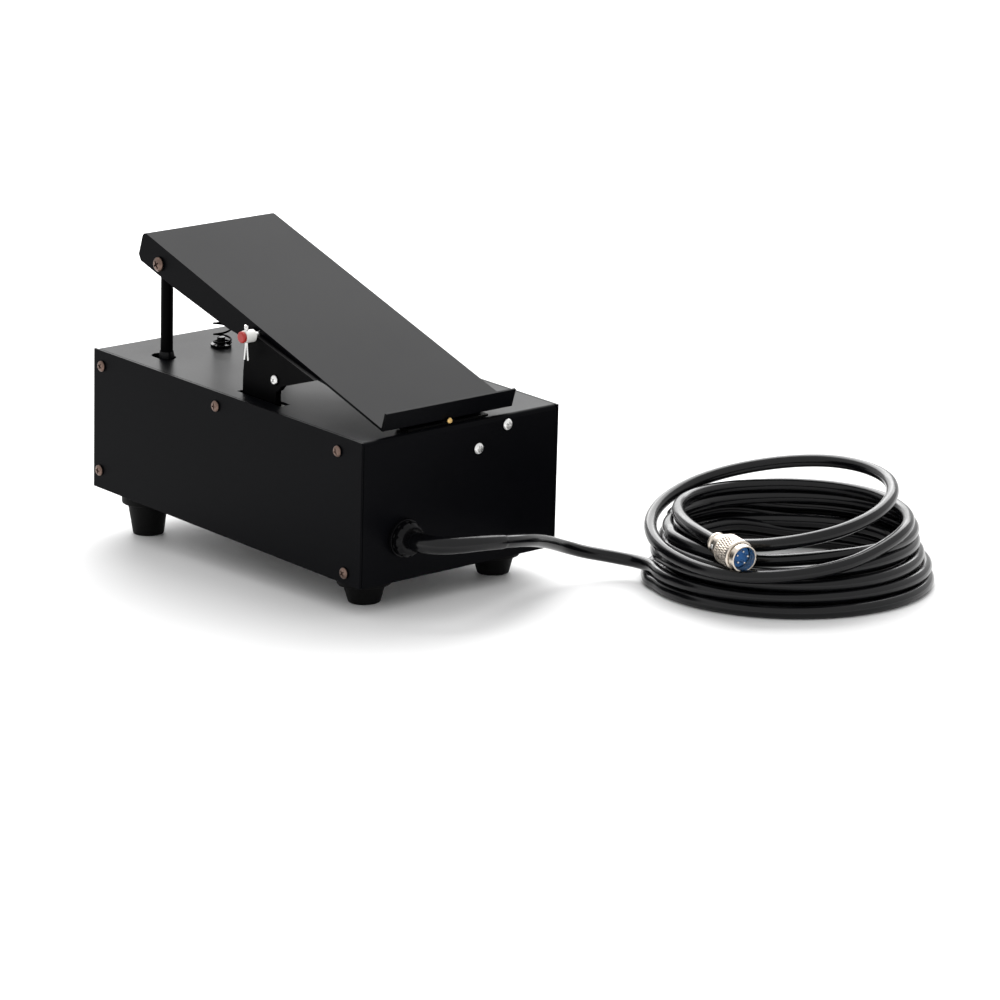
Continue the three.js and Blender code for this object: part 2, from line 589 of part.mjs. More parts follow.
function addSpringAndStops() {
  addPart(box, 'return_spring', tube(new Helix(), SPRING.wireR, 6, SPRING.turns * 12), blackSteel);
  const { r, thick, spigotR, tipR, height } = SPRING_SEAT;
  const seat = turned('z', [
    [0, GAP], [r, GAP], [r, thick], [spigotR, thick], [tipR, height], [0, height],
  ], SPRING.x, SPRING.y, CASE_HEIGHT);
  addPart(box, 'spring_seat', seat, blackNylon);
  const cup = inPedalFrame(SPRING.x, SPRING.top).x - SPRING_CAP.back;
  const cap = bar('z', SPRING_CAP.r, SPRING_CAP.bottom, pedalUnder - GAP, cup, SPRING.y, 0);
  addPart(pedalFrame, 'spring_cap', cap, blackNylon);
  for (const side of ['near', 'far']) {
    const pad = bar('z', UP_STOP.r, CROSSBAR.top + GAP, ceiling - GAP, ROD.x, UP_STOP[side], 0);
    addPart(box, `up_stop_${side}`, pad, rubber);
  }
  const { footR, footTop, postR, postFrom, top } = DOWN_STOP;
  const foot = PLATE + GAP;
  const post = turned('z', [
    [0, foot], [footR, foot], [footR, footTop], [postR, postFrom], [postR, top], [0, top],
  ], ROD.x - ROD_TRAVEL_X, PEDAL.y, 0);
  addPart(box, 'down_stop', post, rubber);
}

// ---------------------------------------------------------------- works inside the box
function addWorks() {
  const [dx, dz] = behindHinge(meshR, SECTOR.meshAngle);
  const x = HINGE.x + dx;
  const z = HINGE.z + dz;
  addPart(hingeFrame, 'pinion', makePinion(), whiteNylon);
  const { half, front, back, footBack } = POT_BRACKET;
  const foot = PLATE + GAP;
  const bracket = cut(
    join(
      block(x - half, x + half, front, back, foot, z + half),
      block(x - half, x + half, front, footBack, foot, foot + PLATE),
    ),
    bar('y', POT_BRACKET.boreR, front - 1, back + 1, x, 0, z),
  );
  addPart(box, 'pot_bracket', bracket, brightSteel);
  const nut = cut(
    bar('y', POT_NUT.r, POT_NUT.front, POT_NUT.back, x, 0, z, 6),
    bar('y', POT_NUT.boreR, POT_NUT.front - 1, POT_NUT.back + 1, x, 0, z),
  );
  addPart(box, 'pot_nut', nut, brightSteel);
  const pot = turned('y', [
    [0, POT.front], [POT.r, POT.front], [POT.r, POT.shoulder], [POT.endR, POT.back], [0, POT.back],
  ], x, 0, z, 20);
  addPart(box, 'potentiometer', pot, blackNylon);
  const { x0, x1, y0, y1 } = ARM_SLOT;
  const { sides, faces, bottom } = ARM_GUIDE;
  const guide = cut(
    block(x0 - sides, x1 + sides, y0 - faces, y1 + faces, bottom, ceiling - GAP),
    block(x0, x1, y0, y1, bottom - 1, CASE_HEIGHT),
  );
  addPart(box, 'arm_guide', guide, whiteNylon);
}

// Limit switch under the box's ceiling. Its plunger meets the crossbar when the pedal is up.
function addSwitch() {
  const { x } = ROD;
  const { y, halfL, halfW: reach, boreR, plungerR } = SWITCH;
  const bottom = CROSSBAR.top + SWITCH.above;
  const body = cut(
    block(x - halfL, x + halfL, y - reach, y + reach, bottom, ceiling - GAP),
    bar('z', boreR, bottom - 1, ceiling - SWITCH.boreEnd, x, y, 0, 12),
  );
  addPart(box, 'limit_switch', body, blackNylon);
  const plunger = bar('z', plungerR, CROSSBAR.top + GAP, ceiling - SWITCH.plungerEnd, x, y, 0, 12);
  addPart(box, 'switch_plunger', plunger, redPlastic);
}

function addTerminals() {
  const [lower, upper] = FRONT_SCREWS;
  const { depth, reach, bottom, holeDepth } = TERMINALS;
  const face = innerHalfL - GAP;
  const strip = cut(
    block(face - depth, face, lower.y - reach, upper.y + reach, bottom, ceiling - PLATE),
    ...FRONT_SCREWS.map(({ y, z }) => bar('x', SCREW.boreR, face - holeDepth, face + 1, 0, y, z, 12)),
  );
  addPart(box, 'terminal_block', strip, whiteNylon);
}

// ---------------------------------------------------------------- gland
function addGland() {
  const { y, z, flangeR, capR, threadR, boreR, end, nutR, nutThick } = GLAND;
  const face = halfL + GAP;
  const inner = innerHalfL - GLAND.inner;
  const flangeTop = face + GLAND.flange;
  const body = turned('x', [
    [boreR, inner], [threadR, inner], [threadR, face], [flangeR, face],
    [flangeR, flangeTop], [boreR, flangeTop], [boreR, inner],
  ], 0, y, z, 20);
  addPart(box, 'gland_body', body, blackNylon);
  const seam = flangeTop + GAP;
  const cap = turned('x', [
    [boreR, seam], [capR, seam], [capR, end - 2], [capR - 2, end], [boreR, end], [boreR, seam],
  ], 0, y, z, 20);
  addPart(box, 'gland_cap', cap, blackNylon);
  const nut = cut(
    bar('x', nutR, innerHalfL - nutThick, innerHalfL - GAP, 0, y, z, 6),
    bar('x', threadR + 0.4, innerHalfL - nutThick - 1, innerHalfL + 1, 0, y, z, 20),
  );
  addPart(box, 'gland_locknut', nut, blackNylon);
}

// ---------------------------------------------------------------- lead and connector
const plugFrame = new THREE.Group();      // origin mid-length, +X towards the mating end
plugFrame.position.set(PLUG.x, PLUG.y, PLUG.z);
plugFrame.rotation.set(0, rad(PLUG.nose), rad(PLUG.yaw), 'ZYX');
pedalControl.add(plugFrame);

function addCord() {
  const points = CORD_ROUTE.map(([x, y, z]) => new THREE.Vector3(x, y, z));
  const curve = new THREE.CatmullRomCurve3(points, false, 'centripetal');
  addPart(pedalControl, 'cord_run', tube(curve, CORD_R, 10, 14), cordBlack);
  const { x, y, outerR, innerR, height, chamfer, shoulderR, shoulder, topR } = COIL;
  const ring = turned('z', [
    [innerR + chamfer, 0], [outerR - chamfer, 0], [outerR, chamfer], [shoulderR, shoulder],
    [topR, height], [innerR + chamfer, height], [innerR, height - chamfer], [innerR, chamfer],
    [innerR + chamfer, 0],
  ], x, y, 0, 40);
  // The connector lies in a channel across the coil's top.
  const length = 120;
  const depth = 60;
  const channel = new THREE.BoxGeometry(length, 2 * PLUG.ringR + 5, depth);
  channel.translate(10, 0, depth / 2 - PLUG.ringR - 0.8);
  plugFrame.updateWorldMatrix(true, false);
  addPart(pedalControl, 'cord_coil', cut(ring, toSolid(channel, plugFrame.matrixWorld)), cordBlack);
}

function addPlug() {
  const { clampR, clampFrom, clampTo, shellR, shellFrom, shellTo, socketFloor } = PLUG;
  const clamp = turned('x', [
    [0, clampFrom], [clampR - 1.5, clampFrom], [clampR, clampFrom + 1.5], [clampR, clampTo], [0, clampTo],
  ], 0, 0, 0, 20);
  addPart(plugFrame, 'plug_clamp', clamp, satinNickel);
  const boreR = shellR - 1;
  const shell = turned('x', [
    [0, shellFrom], [shellR, shellFrom], [shellR, shellTo], [boreR, shellTo],
    [boreR, socketFloor], [0, socketFloor],
  ], 0, 0, 0, 24);
  addPart(plugFrame, 'plug_shell', shell, satinNickel);
  const insert = bar('x', boreR - GAP, socketFloor + GAP, PLUG.insertTo, 0, 0, 0, 24);
  addPart(plugFrame, 'plug_insert', insert, blueInsert);
  const { ringR, ringBoreR, ringFrom, ringTo } = PLUG;
  const ring = turned('x', [
    [ringBoreR, ringFrom], [ringR, ringFrom], [ringR, ringTo], [ringBoreR, ringTo], [ringBoreR, ringFrom],
  ], 0, 0, 0, 24);
  addPart(plugFrame, 'plug_ring', ring, satinNickel);
}

addBox();
addFeet();
addPedal();
addHinge();
addRods();
addSpringAndStops();
addWorks();
addSwitch();
addTerminals();
addGland();
addCord();
addPlug();

export default pedalControl;
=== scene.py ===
"""Looks of the foot pedal control: lead and coil, screws, feet, connector, materials, floor and light."""
import json
import math

import bpy
from mathutils import Matrix, Vector


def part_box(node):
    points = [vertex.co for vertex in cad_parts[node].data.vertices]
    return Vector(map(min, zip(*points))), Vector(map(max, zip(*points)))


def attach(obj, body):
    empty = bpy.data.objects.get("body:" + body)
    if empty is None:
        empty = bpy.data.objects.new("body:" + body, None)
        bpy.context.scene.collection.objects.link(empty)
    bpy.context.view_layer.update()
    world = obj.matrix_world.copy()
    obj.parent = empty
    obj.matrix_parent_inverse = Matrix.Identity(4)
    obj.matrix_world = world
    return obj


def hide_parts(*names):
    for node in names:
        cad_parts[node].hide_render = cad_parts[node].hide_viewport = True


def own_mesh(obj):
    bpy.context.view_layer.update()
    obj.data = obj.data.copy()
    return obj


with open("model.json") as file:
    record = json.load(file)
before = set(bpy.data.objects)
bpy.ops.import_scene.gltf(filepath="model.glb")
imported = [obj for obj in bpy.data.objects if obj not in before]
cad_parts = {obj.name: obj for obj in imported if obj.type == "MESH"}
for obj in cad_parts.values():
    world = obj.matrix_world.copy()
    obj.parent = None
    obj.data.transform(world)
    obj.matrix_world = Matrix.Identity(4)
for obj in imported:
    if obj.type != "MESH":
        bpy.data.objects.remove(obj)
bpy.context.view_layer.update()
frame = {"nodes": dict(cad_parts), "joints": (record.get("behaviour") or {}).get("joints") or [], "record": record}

# ---------------------------------------------------------------- sizes and directions
MM = 0.001
CASE_PITCH = math.radians(2.4)        # the box stands nose down on its feet
CORD_R = 3.9 * MM
RELIEF_LENGTH = 62 * MM               # tapered sleeve where the lead leaves the gland
RELIEF_R = 5.9 * MM
WIRE_R = {"spring": 0.65 * MM, "split_pin": 0.6 * MM}
FEET = ["foot_rear_near", "foot_rear_far", "foot_front_near", "foot_front_far"]
# Pan-head screws in millimetres: radius and height of the head, length of the shank.
SIDE_SCREW = (3.4, 1.7, 4.6)
ROD_BOLT = (4.5, 2.6, 7.4)
ARM_SCREW = (3, 1.5, 3.4)
FOOT_SCREW = (3.9, 2.2, 5)
CLAMP_SCREW = (1.5, 0.8, 2)

ALONG = Vector((math.cos(CASE_PITCH), 0, -math.sin(CASE_PITCH)))      # the box's length, forward
NEAR = Vector((0, -1, 0))
FAR = Vector((0, 1, 0))
UP = Vector((0, 0, 1))
RING_JOINT = next(joint for joint in frame["joints"] if joint["name"] == "coupling_ring_spin")
PLUG = Vector(RING_JOINT["pos_m"])            # middle of the connector's length
PLUG_AXIS = Vector(RING_JOINT["axis"])        # the way that its mating end points


def centre(node):
    low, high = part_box(node)
    return (low + high) / 2


# ---------------------------------------------------------------- camera
def make_camera():
    data = bpy.data.cameras.new("camera")
    data.lens = 170.3
    data.sensor_width = 36
    data.clip_start = 0.1
    data.clip_end = 60
    camera = bpy.data.objects.new("camera", data)
    right = Vector((0.64775, 0.76185, -0.00116))
    up = Vector((-0.19176, 0.16451, 0.96756))
    back = Vector((0.73732, -0.62651, 0.25265))
    turn = Matrix((right, up, back)).transposed().to_4x4()
    camera.matrix_world = Matrix.Translation((2.1662, -1.7009, 0.7510)) @ turn
    bpy.context.scene.collection.objects.link(camera)
    bpy.context.scene.camera = camera


make_camera()


# ---------------------------------------------------------------- mesh helpers
def mesh_from(name, points, faces):
    mesh = bpy.data.meshes.new(name)
    mesh.from_pydata(points, [], faces)
    mesh.validate()
    mesh.shade_smooth()
    mesh.set_sharp_from_angle(angle=math.radians(35))
    return mesh


def towards(direction, at):
    """Matrix that puts a shape made along +Z at a point, facing a direction."""
    turn = UP.rotation_difference(direction).to_matrix().to_4x4()
    return Matrix.Translation(at) @ turn


def add_piece(name, mesh, body, slot, place=None, replaces=()):
    if place is not None:
        mesh = mesh.copy()
        mesh.transform(place)
    piece = bpy.data.objects.new(name, mesh)
    bpy.context.scene.collection.objects.link(piece)
    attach(piece, body)
    if replaces:
        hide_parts(*replaces)
    piece.data.materials.append(MATERIALS[slot])
    return piece


def rounded(profile, radius, steps=4):
    """Profile with each inner corner rounded off."""
    points = [Vector(profile[0])]
    for before, corner, after in zip(profile, profile[1:], profile[2:]):
        before, corner, after = Vector(before), Vector(corner), Vector(after)
        reach = min(radius, (before - corner).length * 0.45, (after - corner).length * 0.45)
        start = corner + (before - corner).normalized() * reach
        end = corner + (after - corner).normalized() * reach
        for i in range(steps + 1):
            t = i / steps
            points.append((1 - t) ** 2 * start + 2 * t * (1 - t) * corner + t * t * end)
    points.append(Vector(profile[-1]))
    return points


def lathe(name, profile, sides=48, ripple=None):
    """Turned solid round +Z. The profile runs from the axis back to the axis, or closes on itself."""
    rings, points = [], []
    closed = (Vector(profile[0]) - Vector(profile[-1])).length < 1e-9
    for r, z in profile[:-1] if closed else profile:
        if r < 1e-7:
            rings.append([len(points)])
            points.append((0, 0, z))
            continue
        rings.append([len(points) + i for i in range(sides)])
        for i in range(sides):
            angle = 2 * math.pi * i / sides
            radius = ripple(angle, r, z) if ripple else r
            points.append((radius * math.cos(angle), radius * math.sin(angle), z))
    pairs = list(zip(rings, rings[1:]))
    if closed:
        pairs.append((rings[-1], rings[0]))
    faces = []
    for low, high in pairs:
        for i in range(sides):
            j = (i + 1) % sides
            corners = [low[i % len(low)], low[j % len(low)], high[j % len(high)], high[i % len(high)]]
            face = list(dict.fromkeys(corners))
            if len(face) > 2:
                faces.append(face)
    return mesh_from(name, points, faces)


def sweep(name, path, radius_at, sides=16):
    """Closed tube along a path. radius_at gives its radius for a share of the path from 0 to 1."""
    points, faces = [], []
    side = None
    for i, at in enumerate(path):
        ahead = (path[min(i + 1, len(path) - 1)] - path[max(i - 1, 0)]).normalized()
        if side is None:
            side = ahead.orthogonal()
        side = (side - side.dot(ahead) * ahead).normalized()
        other = ahead.cross(side)
        r = radius_at(i / (len(path) - 1))
        for k in range(sides):
            angle = 2 * math.pi * k / sides
            points.append(at + r * (math.cos(angle) * side + math.sin(angle) * other))
    for i in range(len(path) - 1):
        for k in range(sides):
            n = (k + 1) % sides
            faces.append([i * sides + k, i * sides + n, (i + 1) * sides + n, (i + 1) * sides + k])
    faces.append(list(range(sides))[::-1])
    faces.append([(len(path) - 1) * sides + k for k in range(sides)])
    return mesh_from(name, points, faces)


def smooth_line(points, spacing):
    """Points along a Catmull-Rom curve through the given ones, about one spacing apart."""
    points = [Vector(p) for p in points]
    ends = [2 * points[0] - points[1], *points, 2 * points[-1] - points[-2]]
    line = []
    for a, b, c, d in zip(ends, ends[1:], ends[2:], ends[3:]):
        count = max(2, round((c - b).length / spacing))
        for i in range(count):
            t = i / count
            line.append(0.5 * (2 * b + (c - a) * t + (2 * a - 5 * b + 4 * c - d) * t ** 2
                               + (3 * b - a - 3 * c + d) * t ** 3))
    line.append(points[-1])
    return line


# ---------------------------------------------------------------- materials
def procedural(name, colour, roughness, metallic=0.0, *, grain=900, bump=0.15, depth=0.05,
               patches=18, variation=0.2, rough_spread=0.08, specular=0.5):
    """Principled material whose colour, roughness and surface vary with noise at two scales."""
    material = bpy.data.materials.new(name)
    material.use_nodes = True
    nodes, links = material.node_tree.nodes, material.node_tree.links
    shader = nodes["Principled BSDF"]
    shader.inputs["Metallic"].default_value = metallic
    shader.inputs["Specular IOR Level"].default_value = specular
    place = nodes.new("ShaderNodeTexCoord")
    coarse = nodes.new("ShaderNodeTexNoise")
    coarse.inputs["Scale"].default_value = patches
    coarse.inputs["Detail"].default_value = 6
    coarse.inputs["Roughness"].default_value = 0.6
    links.new(place.outputs["Object"], coarse.inputs["Vector"])
    fine = nodes.new("ShaderNodeTexNoise")
    fine.inputs["Scale"].default_value = grain
    fine.inputs["Detail"].default_value = 3
    links.new(place.outputs["Object"], fine.inputs["Vector"])

    tone = nodes.new("ShaderNodeValToRGB")
    tone.color_ramp.elements[0].position = 0.3
    tone.color_ramp.elements[1].position = 0.7
    tone.color_ramp.elements[0].color = (*[c * (1 - variation) for c in colour], 1)
    tone.color_ramp.elements[1].color = (*[min(1, c * (1 + variation)) for c in colour], 1)
    coarse_part = nodes.new("ShaderNodeMath")
    coarse_part.operation = "MULTIPLY"
    coarse_part.inputs[1].default_value = 0.65
    links.new(coarse.outputs["Fac"], coarse_part.inputs[0])
    blend = nodes.new("ShaderNodeMath")
    blend.operation = "MULTIPLY_ADD"
    blend.inputs[1].default_value = 0.35
    links.new(fine.outputs["Fac"], blend.inputs[0])
    links.new(coarse_part.outputs[0], blend.inputs[2])
    links.new(blend.outputs[0], tone.inputs["Fac"])
    links.new(tone.outputs["Color"], shader.inputs["Base Color"])

    rough = nodes.new("ShaderNodeMapRange")
    rough.inputs["From Min"].default_value = 0.3
    rough.inputs["From Max"].default_value = 0.7
    rough.inputs["To Min"].default_value = max(0.02, roughness - rough_spread)
    rough.inputs["To Max"].default_value = min(1, roughness + rough_spread)
    links.new(blend.outputs[0], rough.inputs["Value"])
    links.new(rough.outputs["Result"], shader.inputs["Roughness"])

    relief = nodes.new("ShaderNodeBump")
    relief.inputs["Strength"].default_value = bump
    relief.inputs["Distance"].default_value = depth * MM
    links.new(fine.outputs["Fac"], relief.inputs["Height"])
    links.new(relief.outputs["Normal"], shader.inputs["Normal"])
    return material


def black_paint():
    return procedural("satin_black_paint", (0.0019, 0.002, 0.0027), 0.34, grain=1300, bump=0.3,
                      depth=0.05, patches=9, variation=0.3, rough_spread=0.05, specular=0.03)


def black_steel():
    return procedural("blackened_steel", (0.001, 0.001, 0.0012), 0.42, grain=1800, bump=0.3,
                      depth=0.03, patches=60, variation=0.35, specular=0.02)


def rubber():
    return procedural("matt_rubber", (0.0022, 0.0022, 0.0023), 0.62, grain=2600, bump=0.6,
                      depth=0.08, patches=45, variation=0.35, specular=0.1)


def black_nylon():
    return procedural("moulded_black_nylon", (0.0025, 0.0025, 0.003), 0.22, grain=3200, bump=0.25,
                      depth=0.04, patches=70, variation=0.3, specular=0.14)


def screw_steel():
    return procedural("plated_screw_steel", (0.165, 0.112, 0.092), 0.3, 1.0, grain=2600, bump=0.25,
                      depth=0.03, patches=260, variation=0.3)


def bright_steel():
    return procedural("bright_steel", (0.74, 0.74, 0.73), 0.26, 1.0, grain=2400, bump=0.25, depth=0.03,
                      patches=220, variation=0.12)


def yellow_zinc():
    return procedural("yellow_zinc", (0.66, 0.44, 0.17), 0.33, 1.0, grain=2200, bump=0.25, depth=0.03,
                      patches=400, variation=0.3)


def white_nylon():
    return procedural("white_nylon", (0.72, 0.72, 0.69), 0.45, grain=2600, bump=0.25, depth=0.04,
                      patches=90, variation=0.06)


def red_plastic():
    return procedural("red_plastic", (0.34, 0.012, 0.008), 0.38, grain=2400, bump=0.2, depth=0.03,
                      patches=160, variation=0.16)


def cord_jacket():
    return procedural("satin_cord_jacket", (0.0022, 0.0023, 0.0029), 0.19, grain=1700, bump=0.25,
                      depth=0.05, patches=35, variation=0.3, rough_spread=0.06, specular=0.29)


def satin_nickel():
    return procedural("satin_nickel", (0.7, 0.63, 0.55), 0.27, 1.0, grain=2600, bump=0.2, depth=0.03,
                      patches=300, variation=0.14)


def blue_insert():
    return procedural("blue_insert", (0.012, 0.115, 0.36), 0.4, grain=2400, bump=0.25, depth=0.04,
                      patches=220, variation=0.15)


MATERIALS = {make.__name__: make() for make in (
    black_paint, black_steel, rubber, black_nylon, screw_steel, bright_steel,
    yellow_zinc, white_nylon, red_plastic, cord_jacket, satin_nickel, blue_insert,
)}

# ---------------------------------------------------------------- CAD nodes
EDGE_WIDTH = {"rubber": 0.8, "black_paint": 0.35, "white_nylon": 0.25}    # millimetres


def finish_nodes():
    """Gives each CAD node its material, soft edges and smooth round faces."""
    for part in frame["record"]["subparts"]:
        node = frame["nodes"][part["node"]]
        slot = part["material_slot"]
        node.data.materials.clear()
        node.data.materials.append(MATERIALS[slot])
        node.data.shade_smooth()
        weld = node.modifiers.new("weld", "WELD")
        weld.merge_threshold = 0.005 * MM
        flatten = node.modifiers.new("flatten", "DECIMATE")
        flatten.decimate_type = "DISSOLVE"
        flatten.angle_limit = math.radians(0.8)
        edges = node.modifiers.new("edges", "BEVEL")
        edges.width = EDGE_WIDTH.get(slot, 0.2) * MM
        edges.segments = 3
        edges.limit_method = "ANGLE"
        edges.angle_limit = math.radians(32)
        normals = node.modifiers.new("normals", "WEIGHTED_NORMAL")
        normals.weight = 100


# ---------------------------------------------------------------- lead
ROUTE = [      # millimetres, as the frame's lead runs
    (137.6, -42.5, 42.6), (147, -42.4, 42.9), (157.5, -39.8, 43.6), (166, -33, 44.4), (171, -22.5, 44.6),
    (172.5, -9.5, 43.5), (170.5, 5, 41.2), (165.5, 20, 38), (158.5, 35, 33.6), (152, 50, 28.2),
    (147, 65, 22.2), (148.5, 79, 17), (154, 91.5, 13.5), (161.5, 98.8, 11.7), (168, 101.7, 11.2),
    (177, 102.6, 11), (186, 100.6, 11),
]
COIL = Vector((228, 169))
OUTER_R = 82            # middle of the outermost turn
ACROSS = 7.8            # from turn to turn, lying side by side
LAYER = 7.2             # from layer to layer
LEAN = 2.6              # how far each layer lies inside the one below it
# (layer, place from outside) of each turn
WINDING = [(1, 0), (0, 0), (0, 1), (1, 1), (2, 1), (2, 0), (3, 0), (4, 0)]
WINDING_START = -115    # degrees, seen from above
WINDING_END = -148
STEP = 6                # degrees between points of a turn
CROSSOVER = (0.68, 0.8) # share of a turn over which the lead steps to its next place
PRESSED_AT = -68        # degrees: where the connector presses on the coil
PRESSED_IN = 9          # how far the high turns lean inward there
PRESSED_DOWN = 5.5      # and sink
SWAY = 1.2              # how far the turns stray sideways
RISE = 0.7              # and up, from where the layers would put them
LEAD_END = 17.3         # from the connector's middle back to the lead's last point
LAST_TURNS = [          # the two loose turns on top, up to the back of the connector
    (186, 119.5, 32), (206, 114, 31.5), (228, 112, 32.5), (249, 113, 35.5), (269, 117.5, 39.5),
    (286, 130.5, 44), (294, 151, 48), (291.5, 178, 52), (277.5, 204, 55.5), (255, 223.5, 57.5),
    (227, 232.5, 58), (199, 230, 57), (174.5, 216.5, 54), (156, 194, 49.5), (148, 168, 44.5),
    (150.5, 142, 39), (162.5, 119.5, 34), (181.5, 103, 29.5), (206, 92, 26.5), (232, 88.3, 24.4),
    (257, 90.6, 24), (279, 101, 25), (295.5, 121, 27.5), (303, 145, 30.5), (302, 171, 34.5),
    (294.5, 197, 38.5), (278.5, 217, 40), (254.5, 231.5, 40.2), (228, 238.5, 40.2), (201, 234, 40.2),
    (178, 219, 40.2), (162, 197.5, 40), (155.5, 176, 40), (157.5, 155, 39.7), (167.5, 137, 39.3),
    (183, 123, 38.8), (202, 112.5, 38.4), (219, 106.3, 37.9),
]


def ease(t):
    t = min(1, max(0, t))
    return t * t * (3 - 2 * t)


def place_of(turn):
    layer, inward = WINDING[min(turn, len(WINDING) - 1)]
    return OUTER_R - ACROSS * inward - LEAN * layer, CORD_R / MM + LAYER * layer


def winding_points():
    points = []
    span = 360 * len(WINDING) + WINDING_END - WINDING_START
    for i in range(round(span / STEP) + 1):
        swept = i * STEP
        turn, share = divmod(swept / 360, 1)
        start, end = CROSSOVER
        change = ease((share - start) / (end - start))
        here, there = place_of(int(turn)), place_of(int(turn) + 1)
        r = here[0] + (there[0] - here[0]) * change
        z = here[1] + (there[1] - here[1]) * change
        angle = math.radians(WINDING_START + swept)
        off_floor = min(1, max(0, (z - 10) / LAYER))
        pressed = max(0, math.cos(angle - math.radians(PRESSED_AT))) ** 6 * ease((z - 20) / 10)
        r += SWAY * math.sin(2 * angle + 1.7 * turn) - PRESSED_IN * pressed
        z += RISE * off_floor * (0.5 + 0.5 * math.sin(3 * angle + 2.3 * turn)) - PRESSED_DOWN * pressed
        points.append((COIL.x + r * math.cos(angle), COIL.y + r * math.sin(angle), z))
    return points


def lead_line():
    plug_back = PLUG / MM - PLUG_AXIS * LEAD_END
    points = [*ROUTE, *winding_points(), *LAST_TURNS, tuple(plug_back)]
    return [p * MM for p in smooth_line(points, 4)]


def make_lead(line):
    curve = bpy.data.curves.new("lead", "CURVE")
    curve.dimensions = "3D"
    spline = curve.splines.new("POLY")
    spline.points.add(len(line) - 1)
    for point, at in zip(spline.points, line):
        point.co = (*at, 1)
    curve.bevel_depth = CORD_R
    curve.bevel_resolution = 6
    curve.use_fill_caps = True
    curve.materials.append(MATERIALS["cord_jacket"])
    lead = bpy.data.objects.new("lead", curve)
    bpy.context.scene.collection.objects.link(lead)
    spline.use_smooth = True
    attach(lead, "box")
    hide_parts("cord_run", "cord_coil")
    return lead


def make_relief(line):
    """Tapered sleeve round the first stretch of the lead, its two ends rounded over."""
    path, run = [], 0
    for before, after in zip(line, line[1:]):
        if run > RELIEF_LENGTH:
            break
        for i in range(4):
            path.append(before.lerp(after, i / 4))
        run += (after - before).length

    def radius(share):
        taper = RELIEF_R + (CORD_R + 0.4 * MM - RELIEF_R) * share ** 0.8
        return taper * (0.92 + 0.08 * ease(share / 0.04)) - 0.3 * MM * ease((share - 0.97) / 0.03)

    return add_piece("strain_relief", sweep("strain_relief", path, radius, 32), "box", "cord_jacket")


# ---------------------------------------------------------------- gland and connector
def make_gland():
    """Domed cap of the cable gland, with ten grip flutes."""
    low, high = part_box("gland_cap")
    length = high.x - low.x
    r = (high.y - low.y) / 2
    bore = 4.7 * MM
    profile = rounded([
        (bore, 0), (r * 0.94, 0), (r, 0.8 * MM), (r, length * 0.62), (r * 0.8, length * 0.97),
        (bore + 1.6 * MM, length), (bore, length), (bore, 0),
    ], 0.5 * MM)

    def fluted(angle, radius, z):
        if radius < r * 0.9 or not 0.1 * length < z < 0.8 * length:
            return radius
        return radius - 0.9 * MM * max(0, math.cos(10 * angle)) ** 4

    cap = lathe("gland_cap_fluted", profile, 120, fluted)
    at = centre("gland_cap") - ALONG * length / 2
    return add_piece("gland_cap_fluted", cap, "box", "black_nylon", towards(ALONG, at), ["gland_cap"])


